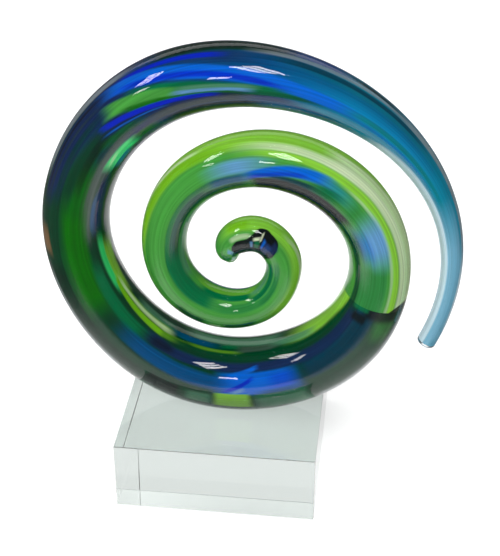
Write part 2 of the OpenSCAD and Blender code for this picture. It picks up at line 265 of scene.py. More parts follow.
CURL_STREAKS = (
    ("lime", 36, 14, 1, 0.3, ((7.5, 0), (9.5, -4), (11, 0), (12.2, -6))),
    ("milk", 24, 12, 0.65, 0.12, ((7.5, -8), (8.7, -2), (9.3, 10), (9.75, 18))),
    ("milk", 11, 9, 0.75, 0.3, ((7.5, 28), (10.4, 32))),
    ("lime", 9, 7, 1, 0.3, ((7.5, 49), (9.5, 50), (10.4, 48))),
    ("milk", 3.5, 4, 0.35, 0.15, ((7.5, 62), (9.5, 62))),
    ("moss", 14, 10, 0.8, 0.25, ((10.7, 28), (11.4, 22), (12.1, 10))),
    ("milk", 6, 5, 0.7, 0.1, ((10.95, 4), (11.5, -4), (11.9, -10))),
    ("emerald", 34, 8, 0.55, 0.08, ((7.5, 106), (8.7, 106))),
    ("sky", 20, 10, 1, 0.16, ((8.76, 84), (9.16, 78))),
    ("azure", 14, 12, 0.7, 0.16, ((8.8, 110), (9.12, 112))),
    ("deep_teal", 14, 10, 0.8, 0.2, ((8.82, 134), (9.12, 134))),
    ("emerald", 22, 8, 0.5, 0.1, ((9.25, 96), (9.42, 94))),
    ("teal", 14, 9, 0.7, 0.14, ((9.45, 82), (9.7, 82))),
    ("emerald", 18, 9, 0.9, 0.14, ((9.5, 100), (9.8, 102))),
    ("deep_teal", 10, 8, 0.95, 0.12, ((9.75, 106), (10.3, 112))),
    ("sky", 18, 12, 0.95, 0.25, ((10.35, 78), (10.8, 80))),
    ("azure", 13, 7, 1, 0.14, ((9.7, 72), (9.9, 78), (10.1, 86), (10.35, 100), (10.52, 110))),
    ("cobalt", 6, 6, 0.6, 0.07, ((9.9, 84), (10.15, 96), (10.45, 110))),
    ("petrol", 13, 8, 0.9, 0.1, ((10.5, 114), (10.95, 112))),
    ("ink", 14, 6, 1, 0.1, ((9.25, 127), (10.45, 127))),
    ("ink", 14, 6, 1, 0.1, ((9.25, 153), (10.45, 152))),
    ("bottle", 8, 5, 0.9, 0.1, ((7.5, 143), (9.25, 144))),
    ("bottle", 18, 8, 0.85, 0.1, ((10.5, 144), (11.1, 144))),
    ("bottle", 9, 6, 0.85, 0.15, ((11, 137), (12.6, 137))),
    ("emerald", 6, 4, 0.8, 0.12, ((10.95, 107), (12.6, 107))),
    ("deep_teal", 9, 6, 0.8, 0.15, ((11, 122), (12.6, 122))),
    ("emerald", 26, 10, 1, 0.25, ((12.3, 126), (13.8, 130))),
    ("sage", 12, 8, 0.8, 0.2, ((11.5, 160), (12.9, 162))),
    ("emerald", 12, 6, 1, 0.15, ((13.4, 158), (14.9, 158))),
    # Painted shade on the underside of the inner turn, with a painted glint between its two parts
    ("bottle", 22, 9, 0.75, 0.08, ((13.25, 36), (13.78, 38))),
    ("bottle", 14, 8, 0.75, 0.08, ((14.12, 40), (14.72, 42))),
    ("milk", 8, 6, 0.4, 0.05, ((13.88, 32), (14.05, 32))),
    ("emerald", 16, 9, 0.55, 0.2, ((13.9, 118), (15, 118))),
    ("emerald", 12, 8, 0.7, 0.3, ((15, 114), (16.9, 112))),
    ("emerald", 10, 7, 1, 0.2, ((14.9, 139), (16.9, 138))),
    ("moss", 14, 8, 0.5, 0.2, ((13.2, 184), (15.2, 184))),
    ("sage", 10, 8, 0.8, 0.2, ((15, 164), (16.9, 160))),
    ("petrol", 24, 14, 0.9, 0.3, ((8.4, 236), (17, 234))),
    ("milk", 12, 10, 0.6, 0.3, ((8.2, 300), (13, 285))),
    ("ink", 30, 4, 0.95, 0.02, ((8.1, 50), (8.25, 20), (8.31, -10))),
    ("lime", 46, 22, 0.8, 0.4, ((15.1, 14), (17.2, 4), (19, 0))),
    # Painted highlight along the clear outer rim of the curl
    ("milk", 10, 10, 0.6, 0.3, ((15.2, 8), (16.2, 4), (17.3, 12))),
    ("moss", 24, 14, 0.8, 0.1, ((18.3, 24), (18.85, 10))),
    ("milk", 9, 7, 0.5, 0.1, ((18.25, 70), (18.9, 68))),
    ("ink", 60, 4, 1, 0.05, ((17.2, 172), (17.35, 138), (17.5, 112), (17.7, 102), (17.92, 92),
                             (18.2, 126), (18.4, 142), (18.8, 142), (19.3, 190))),
    ("navy", 24, 10, 0.9, 0.06, ((17.3, 100), (17.55, 82))),
    ("denim", 24, 14, 0.75, 0.1, ((17.5, 112), (17.74, 106))),
    # Painted glint across the eye
    ("azure", 20, 10, 0.9, 0.04, ((17.76, 98), (17.84, 90))),
    ("emerald", 18, 8, 0.85, 0.05, ((17.92, 102), (18.1, 102))),
    # Painted white highlight in the eye, in two parts
    ("milk", 18, 8, 1, 0.03, ((17.9, 64), (17.93, 72))),
    ("milk", 7, 6, 0.9, 0.06, ((17.95, 74), (18.14, 84))),
    ("sky", 14, 8, 0.6, 0.04, ((18.16, 106), (18.26, 106))),
    ("slate", 14, 8, 0.8, 0.1, ((17.5, 138), (19.2, 138))),
    ("sky", 16, 9, 0.8, 0.06, ((19.22, 102), (19.45, 104))),
    ("deep_teal", 10, 8, 0.8, 0.06, ((19.2, 128), (19.6, 128))),
    ("emerald", 30, 14, 0.7, 0.12, ((19.6, 80), (20.5, 80))),
    # Painted edge light at the inner side of the rounded end
    ("painted_edge_light", 18, 10, 0.8, 0.08, ((19.68, 142), (20.1, 150))),
)

# The shadows of clear glass take on this power of its tint
SHADOW_POWER = 0.25

# The camera, with its lens and sensor in millimetres
CAMERA_PLACE = (0.0617, -0.4448, 0.3693)
CAMERA_TILT = 57.81
CAMERA_PAN = 6.66
CAMERA_LENS = 87.06
CAMERA_SENSOR = 36

# Point near the middle of the coil that all lamps face
LAMP_AIM = Vector((0, 0, 0.1))
# Glow of the floor where it is looked at, and the light that the surroundings cast, next to 1 where
# they are looked at
FLOOR_GLOW = 0.28
ROOM_LIGHT = 0.98
# A low card fades out between these distances from its middle, as shares of its width
CARD_FADE = (0.46, 0.5)
# Dark cards for the glass to mirror: name, middle, turn in degrees, and size. The low ones do not
# show through the glass.
CARDS = (
    ("card_front", (0, -2.2, 2.2), (90, 0, 0), (4.4, 4.4)),
    ("card_left", (-2.2, 0, 2.2), (90, 0, 90), (4.4, 4.4)),
    ("card_right", (2.2, 0, 2.2), (90, 0, 90), (4.4, 4.4)),
    ("card_top", (0, 0, 2.4), (0, 0, 0), (4.4, 4.4)),
    ("card_low_back", (0, 2, 0.575), (90, 0, 0), (5.2, 1.15)),
    ("card_low_front", (0, -1.4, 0.001), (0, 0, 0), (5.2, 2.6)),
    ("card_low_left", (-1.33, 1.15, 0.002), (0, 0, 0), (2.54, 2.9)),
    ("card_low_right", (1.33, 1.15, 0.003), (0, 0, 0), (2.54, 2.9)),
)


def linear(channel):
    """Scene value of a display channel from 0 to 255."""
    share = channel / 255
    return share / 12.92 if share <= 0.04045 else ((share + 0.055) / 1.055) ** 2.4


def glass_colour(name, description, *channels):
    """Colour property whose default is given in display values."""
    return FloatVectorProperty(name=name, description=description, subtype="COLOR", size=3, min=0, max=1,
                               default=[linear(c) for c in channels])


def length(name, description, millimetres):
    """Length property whose default is given in millimetres."""
    return FloatProperty(name=name, description=description, default=millimetres * MM, min=0,
                         subtype="DISTANCE", unit="LENGTH")


def turning(name, description, degrees):
    """Angle property whose default is given in degrees."""
    return FloatProperty(name=name, description=description, default=math.radians(degrees),
                         subtype="ANGLE", unit="ROTATION")


def wall_share(name, description, value):
    """Share of the diameter that a clear wall takes up."""
    return FloatProperty(name=name, description=description, default=value, min=0.1, max=0.3,
                         subtype="FACTOR")


class KoruSizes(bpy.types.PropertyGroup):
    """Sizes of the rod and of the block"""
    base_bevel: length("Block bevel", "Width of the polished bevel along the block's edges", 0.25)
    tail_reach: length("Tail reach", "Tail tip from the coil centre", 78.5)
    eye_reach: length("Eye reach", "Rod's inner end from the coil centre", 5.5)
    tail_angle: turning("Tail angle", "Angle of the tail tip from the right", -24)
    coil_x: length("Coil centre", "Coil centre to the right of the block's middle", 8)
    tail_d: length("Tail diameter", "Rod diameter at the cut tail tip", 7.5)
    shoulder_d: length("Shoulder diameter", "Rod diameter where the tail has swollen out", 25.5)
    belly_d: length("Belly diameter", "Rod diameter at its thickest place", 30)
    waist_d: length("Waist diameter", "Rod diameter past the belly", 23)
    neck_d: length("Neck diameter", "Rod diameter past the waist", 17.5)
    eye_d: length("Eye diameter", "Rod diameter next to the rounded inner end", 14)
    outer_wall: wall_share("Outer wall share", "Clear wall of the outer turn to the diameter", 0.16)
    inner_wall: wall_share("Inner wall share", "Clear wall of the inner turn to the diameter", 0.12)
    aqua_end: turning("Aqua end", "Turn along the coil at which the aqua ends", 105)
    lime_start: turning("Lime start", "Turn along the coil at which the lime begins", 371)
    ribbon_depth: length("Ribbon depth", "Depth of the ribbons let into the core", 1.8)


class KoruColours(bpy.types.PropertyGroup):
    """Colours of the glass that was laid into the core, and of the glints, highlights and reflections
    painted on it
    """
    # Painted light: the pale background seen through the clear edge, and painted highlights on the rim
    painted_edge_light: glass_colour("Ice", "Pale edge of the tail", 216, 238, 246)
    # Painted reflection: the grey of the surroundings that the rims mirror
    painted_rim_reflection: glass_colour("Mist", "Grey veil along the tail's rim", 160, 172, 176)
    aqua: glass_colour("Aqua", "Body of the tail", 116, 176, 202)
    sky: glass_colour("Sky", "Pale blue wisps", 105, 160, 212)
    azure: glass_colour("Azure", "Bright blue of the ribbons", 0, 104, 218)
    cobalt: glass_colour("Cobalt", "Deep blue of the ribbons", 0, 36, 200)
    denim: glass_colour("Denim", "Dull blue of the shoulder's rim", 36, 72, 140)
    navy: glass_colour("Navy", "Blue-black shoulder", 18, 40, 84)
    petrol: glass_colour("Petrol", "Blue-green belly", 0, 78, 132)
    teal: glass_colour("Teal", "Blue-green of the tail's root", 0, 134, 162)
    deep_teal: glass_colour("Deep teal", "Dark blue-green", 0, 56, 76)
    slate: glass_colour("Slate", "Grey shade between the ribbons", 32, 52, 56)
    ink: glass_colour("Ink", "Darkest glass", 8, 18, 20)
    # Painted reflection: the grey haze that the clear rims mirror
    painted_haze: glass_colour("Smoke", "Grey veil along the rim", 70, 88, 80)
    bottle: glass_colour("Bottle", "Dark green body", 0, 62, 36)
    emerald: glass_colour("Emerald", "Middle green", 0, 112, 66)
    sage: glass_colour("Sage", "Grey-green of the inward side", 84, 146, 110)
    # Painted glint: light shining through the glass, painted as a bright green
    painted_glint: glass_colour("Jade", "Bright glint of green", 70, 255, 140)
    grass: glass_colour("Grass", "Clear green of the left side", 8, 108, 2)
    leaf: glass_colour("Leaf", "Body of the inner turn", 74, 161, 65)
    lime: glass_colour("Lime", "Yellow-green", 148, 216, 66)
    moss: glass_colour("Moss", "Darker yellow-green", 122, 194, 28)
    milk: glass_colour("Milk", "Milky white", 230, 242, 206)
    # Painted reflection: a brown fleck of the surroundings mirrored at the rim
    painted_brown_reflection: glass_colour("Amber", "Brown fleck", 150, 112, 72)


def ease(share):
    """Smooth rise from 0 to 1."""
    share = np.clip(share, 0, 1)
    return share ** 3 * (10 - 15 * share + 6 * share ** 2)


def mix(a, b, share):
    return a + (b - a) * share


def curve(values, t):
    """Smooth curve through values, one for each eighth turn."""
    values = np.asarray(values, float)
    end = len(values) - 1
    place = np.clip(t, 0, end)
    i = np.minimum(np.floor(place), end - 1).astype(int)
    f = place - i
    a, b, c, d = values[np.maximum(i - 1, 0)], values[i], values[i + 1], values[np.minimum(i + 2, end)]
    return (b + f * (c - a) / 2 + f ** 2 * (a - 2.5 * b + 2 * c - d / 2)
            + f ** 3 * (1.5 * (b - c) + (d - a) / 2))


def rounded(t, tip):
    """Share of the full radius that is left as the rod rounds off towards its tip."""
    return (1 - np.clip((t - ROUND_AT) / (tip - ROUND_AT), 0, 1) ** 2) ** ROUNDING_POWER


class Rod:
    """The coiled rod, worked out from the sizes and set on the adhesive film."""

    def __init__(self, sizes):
        self.sizes = sizes
        self.aqua_last = math.degrees(sizes.aqua_end) / EIGHTH
        self.lime_first = math.degrees(sizes.lime_start) / EIGHTH
        self.diameters = (sizes.tail_d, sizes.shoulder_d, sizes.belly_d, sizes.waist_d, sizes.neck_d,
                          sizes.eye_d, sizes.eye_d)
        self.flat_z = FILM_HIGH.z
        self.centre_y = (ROD_LOW.y + ROD_HIGH.y) / 2
        # The highest place of the outer turn lies at the top of the casing's box
        top = np.linspace(0, self.aqua_last + 2, 400)
        rise = self.reach(top) * np.sin(self.angle(top)) + self.radius(top)
        self.centre_z = ROD_HIGH.z - rise.max()

    def angle(self, t):
        return self.sizes.tail_angle + np.radians(EIGHTH * t)

    def reach(self, t):
        return mix(self.sizes.tail_reach, self.sizes.eye_reach, t / LAST) + MM * curve(HAND_BEND, t)

    def diameter(self, t):
        found = np.full_like(t, self.diameters[0])
        for i in range(len(SWELL_PLACES) - 1):
            share = (t - SWELL_PLACES[i]) / (SWELL_PLACES[i + 1] - SWELL_PLACES[i])
            found += (self.diameters[i + 1] - self.diameters[i]) * ease(share)
        return found

    def radius(self, t):
        return self.diameter(t) / 2 * rounded(t, ROD_TIP)

    def core_radius(self, t):
        # The clear wall thins over three eighth turns, round the place where the lime begins
        share = ease((t - self.lime_first + 2) / 3)
        wall = mix(self.sizes.outer_wall, self.sizes.inner_wall, share)
        bore = self.diameter(t) * (0.5 - wall) * rounded(t, CORE_TIP)
        return bore * math.cos(math.pi / BORE_SIDES) - SEAM

    def groove_radius(self, t):
        return self.core_radius(t) - np.minimum(self.sizes.ribbon_depth, self.core_radius(t) / 2)

    def middle(self, t):
        reach, angle = self.reach(t), self.angle(t)
        return np.stack([self.sizes.coil_x + reach * np.cos(angle), np.full_like(t, self.centre_y),
                         self.centre_z + reach * np.sin(angle)], -1)

    def outward(self, t):
        """Direction from the rod's middle straight away from the coil."""
        near = 0.02
        ahead = self.middle(t + near) - self.middle(np.maximum(t - near, 0))
        side = np.stack([ahead[..., 2], np.zeros_like(t), -ahead[..., 0]], -1)
        return side / np.linalg.norm(side, axis=-1, keepdims=True)

    def at(self, t, radius, turn):
        """Points at these places, distances from the rod's middle and turns round it."""
        t, radius, turn = np.broadcast_arrays(t, radius, np.radians(turn))
        front = np.array((0, -1, 0))
        across = np.cos(turn)[..., None] * self.outward(t) + np.sin(turn)[..., None] * front
        return self.middle(t) + radius[..., None] * across


def deselect():
    if bpy.context.object and bpy.context.object.mode != "OBJECT":
        bpy.ops.object.mode_set(mode="OBJECT")
    bpy.ops.object.select_all(action="DESELECT")


def close_up(smooth_angle):
    """Turn the edited piece's normals outward and shade it smooth across its softer edges."""
    bpy.ops.mesh.select_all(action="SELECT")
    bpy.ops.mesh.normals_make_consistent(inside=False)
    bpy.ops.object.mode_set(mode="OBJECT")
    bpy.ops.object.transform_apply(location=True, rotation=True, scale=True)
    bpy.ops.object.shade_smooth_by_angle(angle=math.radians(smooth_angle))


def hand_over(piece, node, slot, material, further=None):
    """Give a finished piece its place in the frame and its material, or two along the outer turn."""
    mesh = piece.data
    mesh.materials.append(material)
    if further:
        mesh.materials.append(further)
        for face in mesh.polygons:
            place = mesh.uv_layers.active.data[face.loop_start].uv.y * LAST
            face.material_index = int(place > BELLY_FROM)
    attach(piece, "root")
    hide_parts(node)


def rolled_sheet(name, points, turns, places):
    """Roll a flat grid into a closed piece. points, turns and places have a row for each step along
    the rod; the last column lies on the first. The UV map keeps each point's turn and place."""
    rows, columns = points.shape[:2]
    deselect()
    bpy.ops.mesh.primitive_grid_add(x_subdivisions=columns - 1, y_subdivisions=rows - 1, size=1)
    piece = bpy.context.object
    piece.name = piece.data.name = name
    mesh = piece.data
    flat = np.empty(len(mesh.vertices) * 3)
    mesh.vertices.foreach_get("co", flat)
    flat = flat.reshape(-1, 3)
    column = np.rint((flat[:, 0] + 0.5) * (columns - 1)).astype(int)
    row = np.rint((flat[:, 1] + 0.5) * (rows - 1)).astype(int)
    mesh.vertices.foreach_set("co", points[row, column].ravel())
    corner = np.empty(len(mesh.loops), int)
    mesh.loops.foreach_get("vertex_index", corner)
    around = (turns[row, column] + 90) / 360
    along = np.broadcast_to(places[:, None], (rows, columns))[row, column] / LAST
    mesh.uv_layers.active.data.foreach_set("uv", np.stack([around[corner], along[corner]], -1).ravel())
    mesh.uv_layers.active.name = "rod"
    mesh.update()
    bpy.ops.object.mode_set(mode="EDIT")
    bpy.ops.mesh.select_all(action="SELECT")
    bpy.ops.mesh.remove_doubles(threshold=0.0005 * MM)
    bpy.ops.mesh.select_all(action="DESELECT")
    bpy.ops.mesh.select_mode(type="EDGE")
    bpy.ops.mesh.select_non_manifold(extend=False, use_wire=False, use_multi_face=False,
                                     use_non_contiguous=False, use_verts=False)
    bpy.ops.mesh.fill_holes(sides=0)
    close_up(smooth_angle=40)
    return piece


def ribbon_edges(width, near, t, start):
    """Turns of a ribbon's two edges at these places."""
    edge = curve(near, t - math.floor(start))
    return edge, edge + width


def outer_edges(rod, t):
    return [ribbon_edges(width, near, t, rod.aqua_last) for _, _, width, near in OUTER_RIBBONS]


def inner_edges(rod, t):
    milk = ribbon_edges(MILK_WIDTH, MILK_NEAR, t, rod.lime_first)
    lining = curve(LINING_NEAR, t - math.floor(rod.lime_first))
    return [milk, (lining, np.full_like(t, LINING_FAR))]


def fan(start, end, parts):
    """Columns of turns from one edge to the other."""
    return mix(start[:, None], end[:, None], np.linspace(0, 1, parts + 1)[None, :])


def carved(rod, name, t, turns, depths):
    """Piece whose points lie on the core where the depth is 0, and on a groove's floor where it is 1."""
    radius = mix(rod.core_radius(t)[:, None], rod.groove_radius(t)[:, None], depths)
    return rolled_sheet(name, rod.at(t[:, None], radius, turns), turns, t)


def notched_core(rod, name, t, edges, parts=14):
    """Core section with its ribbons let in: deep at each ribbon, full between them."""
    turns, depths = [], []
    for i, (near, far) in enumerate(edges):
        following = edges[(i + 1) % len(edges)][0] + (0 if i < len(edges) - 1 else 360)
        floor, land = fan(near, far, parts), fan(far, following, parts)
        turns += [floor, land]
        depths += [np.ones_like(floor), np.zeros_like(land)]
    turns.append(edges[0][0][:, None] + 360)
    depths.append(np.ones_like(turns[-1]))
    return carved(rod, name, t, np.hstack(turns), np.hstack(depths))


def ribbon_strip(rod, name, t, near, far, parts=14):
    """Ribbon flush with the core's surface, as deep as its groove."""
    over = fan(near, far, parts)
    turns = np.hstack([over, over[:, ::-1], over[:, :1]])
    depths = np.hstack([np.zeros_like(over), np.ones_like(over), np.zeros_like(over[:, :1])])
    return carved(rod, name, t, turns, depths)


def steps(start, end):
    """Places along a section."""
    return np.linspace(start, end, int((end - start) * STEPS_ALONG) + 2)


def full_round(t):
    """Turns all the way round the rod at these places, from its back."""
    return np.broadcast_to(np.linspace(-90, 270, STEPS_ROUND + 1)[None, :], (len(t), STEPS_ROUND + 1))


class NodeBench:
    """Small helper that adds and joins the nodes of one material or world."""

    def __init__(self, owner):
        owner.use_nodes = True
        self.tree = owner.node_tree
        self.shader = self.tree.nodes.get("Principled BSDF")
        self.count = 0

    def add(self, kind, *values, **settings):
        """New node with these settings, and with the values in its first inputs."""
        node = self.tree.nodes.new(kind)
        row, column = divmod(self.count, 20)
        node.location = (column * 180, row * -260)
        self.count += 1
        for key, value in settings.items():
            setattr(node, key, value)
        for socket, value in zip(node.inputs, values):
            self.feed(socket, value)
        return node

    def feed(self, socket, value):
        if isinstance(value, bpy.types.NodeSocket):
            self.tree.links.new(value, socket)
        else:
            socket.default_value = value

    def fill(self, node, entries):
        """Set or join the inputs of a node by their names."""
        for name, value in entries.items():
            self.feed(node.inputs[name], value)
        return node

    def maths(self, operation, *values):
        return self.add("ShaderNodeMath", *values, operation=operation).outputs[0]

    def remap(self, value, low, high, to_low, to_high, smooth=False):
        node = self.add("ShaderNodeMapRange", value, low, high, to_low, to_high, clamp=True,
                        interpolation_type="SMOOTHSTEP" if smooth else "LINEAR")
        return node.outputs[0]

    def noise(self, vector, scale, detail):
        node = self.add("ShaderNodeTexNoise", vector)
        return self.fill(node, {"Scale": scale, "Detail": detail}).outputs[0]

    def seen(self):
        """1 where something is looked at, straight or by way of the glass."""
        ray = self.add("ShaderNodeLightPath")
        found = self.maths("MAXIMUM", ray.outputs["Is Camera Ray"], ray.outputs["Is Glossy Ray"])
        return self.maths("MAXIMUM", found, ray.outputs["Is Transmission Ray"])

    def surface(self, kind, *values):
        """Join values and shaders, and let the result be the surface."""
        joined = self.add(kind, *values).outputs[0]
        self.feed(self.tree.nodes["Material Output"].inputs["Surface"], joined)

    def blend(self, factor, below, above, blend_type="MIX"):
        """Mix of two colours, whose sockets come after those for numbers and vectors."""
        node = self.add("ShaderNodeMix", factor, data_type="RGBA", blend_type=blend_type)
        self.feed(node.inputs[6], below)
        self.feed(node.inputs[7], above)
        return node.outputs[2]

    def bent_path(self, place, path):
        """Turn of a streak at this place: a straight run, or a curve through its points."""
        (first, start), (last, end) = path[0], path[-1]
        if len(path) == 2:
            return self.remap(place, first, last, start, end)
        low = min(turn for _, turn in path)
        high = max(turn for _, turn in path)
        node = self.add("ShaderNodeFloatCurve")
        points = node.mapping.curves[0].points
        spots = [((t - first) / (last - first), (turn - low) / (high - low)) for t, turn in path]
        points[0].location, points[-1].location = spots[0], spots[-1]
        for spot in spots[1:-1]:
            points.new(*spot)
        node.mapping.update()
        self.feed(node.inputs[1], self.remap(place, first, last, 0, 1))
        return self.remap(node.outputs[0], 0, 1, low, high)

    def through_lens(self, turn, place, tail_angle):
        """Turn at which a spot of the core shows, seen from the front and a little above."""
        along = self.maths("MULTIPLY_ADD", place, math.radians(EIGHTH), tail_angle)
        facing = self.maths("MULTIPLY_ADD", self.maths("SINE", along), -FACING_SWING, 90)
        aside = self.maths("WRAP", self.maths("SUBTRACT", turn, facing), 180, -180)
        shown = self.bent_path(self.maths("ABSOLUTE", aside), LENS)
        shown = self.maths("MULTIPLY_ADD", shown, self.maths("SIGN", aside), facing)
        bend = self.maths("WRAP", self.maths("SUBTRACT", shown, turn), 180, -180)
        thick = self.remap(place, *LENS_ENDS, 1, 0, smooth=True)
        return self.maths("MULTIPLY_ADD", bend, thick, turn)


def opaque(colour):
    return (*colour, 1)


def streaked_glass(name, base, streaks, scene):
    """Coloured glass with the streaks, painted light and shade among them, laid over its body colour,
    each feathered by a fine noise.
    """
    colours = scene.koru_colours
    material = bpy.data.materials.new(name)
    bench = NodeBench(material)
    uv = bench.add("ShaderNodeUVMap", uv_map="rod")
    split = bench.add("ShaderNodeSeparateXYZ", uv.outputs[0])
    place = bench.maths("MULTIPLY", split.outputs[1], LAST)
    turn = bench.maths("MULTIPLY_ADD", split.outputs[0], 360, -90)
    angle = bench.maths("RADIANS", turn)
    ring = bench.add("ShaderNodeCombineXYZ", bench.maths("COSINE", angle), bench.maths("SINE", angle),
                     place)
    turn = bench.through_lens(turn, place, scene.koru_sizes.tail_angle)

    # Wisps: the streaks' edges wander a few degrees and fine threads run along the rod
    sway = bench.noise(ring.outputs[0], SWAY_SCALE, detail=3)
    feathered = bench.maths("MULTIPLY_ADD", sway, 2 * SWAY, turn)
    feathered = bench.maths("SUBTRACT", feathered, SWAY)
    stretch = bench.add("ShaderNodeMapping", ring.outputs[0])
    stretch.inputs["Scale"].default_value = THREAD_SCALE
    threads = bench.noise(stretch.outputs[0], 1, detail=4)

    ramp = bench.add("ShaderNodeValToRGB")
    first, last = base[0][0], base[-1][0]
    for i, (spot, colour) in enumerate(base):
        share = (spot - first) / (last - first)
        stop = ramp.color_ramp.elements[i] if i < 2 else ramp.color_ramp.elements.new(share)
        stop.position = share
        stop.color = opaque(getattr(colours, colour))
    bench.feed(ramp.inputs[0], bench.remap(place, first, last, 0, 1))
    colour = ramp.outputs[0]
    for tint, half, soft, strength, fade, path in streaks:
        aside = bench.maths("SUBTRACT", feathered, bench.bent_path(place, path))
        aside = bench.maths("ABSOLUTE", bench.maths("WRAP", aside, 180, -180))
        edge = soft * EDGE_SOFTNESS
        mask = bench.remap(aside, max(half - edge, 0), half + edge, strength, 0, smooth=True)
        begin, end = path[0][0], path[-1][0]
        rising = bench.remap(place, begin - fade, begin + fade, 0, 1, smooth=True)
        falling = bench.remap(place, end - fade, end + fade, 1, 0, smooth=True)
        mask = bench.maths("MULTIPLY", mask, bench.maths("MULTIPLY", rising, falling))
        colour = bench.blend(mask, colour, opaque(getattr(colours, tint)))
    depth = bench.remap(threads, *THREAD_RANGE, 1 - THREAD_DEPTH, 1 + THREAD_DEPTH)
    shade = bench.add("ShaderNodeCombineColor", depth, depth, depth)
    colour = bench.blend(1.0, colour, shade.outputs[0], blend_type="MULTIPLY")
    bench.fill(bench.shader, {"Base Color": colour, "Roughness": 0.5, "Specular IOR Level": 0})
    return material


def clear_glass(name, tint, ior, wave, wave_scale):
    """Polished clear glass with faint waves of this depth; light passes it without a dark shadow."""
    material = bpy.data.materials.new(name)
    bench = NodeBench(material)
    where = bench.add("ShaderNodeTexCoord")
    waves = bench.noise(where.outputs["Object"], wave_scale, detail=1)
    bump = bench.fill(bench.add("ShaderNodeBump"), {"Strength": 1, "Distance": wave, "Height": waves})
    bench.fill(bench.shader, {"Base Color": opaque(tint), "Transmission Weight": 1, "IOR": ior,
                              "Roughness": 0, "Normal": bump.outputs[0]})
    ray = bench.add("ShaderNodeLightPath")
    shadow = opaque([channel ** SHADOW_POWER for channel in tint])
    through = bench.add("ShaderNodeBsdfTransparent", shadow)
    bench.surface("ShaderNodeMixShader", ray.outputs["Is Shadow Ray"], bench.shader.outputs[0],
                  through.outputs[0])
    return material


def matt(name, grey):
    """Grey material without any gloss."""
    material = bpy.data.materials.new(name)
    bench = NodeBench(material)
    bench.fill(bench.shader, {"Base Color": opaque([grey] * 3), "Roughness": 1, "Specular IOR Level": 0})
    return material


class KORU_OT_base_block(bpy.types.Operator):
    """Cut the crystal block and polish a bevel along its edges"""
    bl_idname = "koru.base_block"
    bl_label = "Base block"

    def execute(self, context):
        sizes = context.scene.koru_sizes
        deselect()
        middle = (BASE_LOW + BASE_HIGH) / 2
        bpy.ops.mesh.primitive_cube_add(size=1, location=middle)
        block = context.object
        block.name = block.data.name = "crystal_block"
        bpy.ops.object.mode_set(mode="EDIT")
        bpy.ops.mesh.select_all(action="SELECT")
        bpy.ops.transform.resize(value=BASE_HIGH - BASE_LOW, center_override=middle)
        bpy.ops.mesh.bevel(offset=sizes.base_bevel, offset_type="OFFSET", segments=2, profile=0.5,
                           affect="EDGES")
        close_up(smooth_angle=15)
        crystal = clear_glass("clear crystal", tint=(0.71, 0.765, 0.74), ior=1.52, wave=0.00002,
                              wave_scale=40)
        hand_over(block, "base_block", "clear_crystal", crystal)
        return {"FINISHED"}


class KORU_OT_adhesive_bond(bpy.types.Operator):
    """Press out the film of clear adhesive under the belly"""
    bl_idname = "koru.adhesive_bond"
    bl_label = "Adhesive bond"

    def execute(self, context):
        deselect()
        span = FILM_HIGH - FILM_LOW
        middle = (FILM_LOW + FILM_HIGH) / 2
        bpy.ops.mesh.primitive_circle_add(vertices=64, radius=0.5, fill_type="NGON",
                                          location=(middle.x, middle.y, FILM_LOW.z))
        film = context.object
        film.name = film.data.name = "adhesive_film"
        bpy.ops.object.mode_set(mode="EDIT")
        bpy.ops.mesh.select_all(action="SELECT")
        bpy.ops.transform.resize(value=(span.x, span.y, 1))
        bpy.ops.mesh.extrude_region_move(TRANSFORM_OT_translate={"value": (0, 0, span.z)})
        close_up(smooth_angle=30)
        adhesive = clear_glass("clear adhesive", tint=(0.93, 0.96, 0.9), ior=1.5, wave=0.00002,
                               wave_scale=300)
        hand_over(film, "adhesive_bond", "clear_adhesive", adhesive)
        return {"FINISHED"}


class KORU_OT_clear_casing(bpy.types.Operator):
    """Draw the rod's clear outer glass over the colours"""
    bl_idname = "koru.clear_casing"
    bl_label = "Clear casing"

    def execute(self, context):
        rod = Rod(context.scene.koru_sizes)
        over_end = np.sin(np.radians(np.linspace(0, END_ANGLE, STEPS_OVER_END)))
        t = np.concatenate([steps(0, ROUND_AT)[:-1], mix(ROUND_AT, ROD_TIP, over_end)])
        # The cut end of the tail is fire-polished round its edge, which takes closer steps
        t = np.sort(np.concatenate([t, np.linspace(0, t[1], 9)[1:-1]]))
        run = t * np.radians(EIGHTH) * rod.reach(np.zeros(1))
        edge = np.clip(1 - run / TAIL_POLISH, 0, 1)
        radius = rod.radius(t) - TAIL_POLISH * (1 - np.sqrt(1 - edge ** 2))
        turns = full_round(t)
        points = np.clip(rod.at(t[:, None], radius[:, None], turns), ROD_LOW, ROD_HIGH)
        points[..., 2] = np.maximum(points[..., 2], rod.flat_z)
        casing = rolled_sheet("glass_casing", points, turns, t)
        glass = clear_glass("clear glass", tint=(0.985, 0.995, 0.99), ior=1.5, wave=0.000012,
                            wave_scale=90)
        hand_over(casing, "clear_casing", "clear_glass", glass)
        return {"FINISHED"}


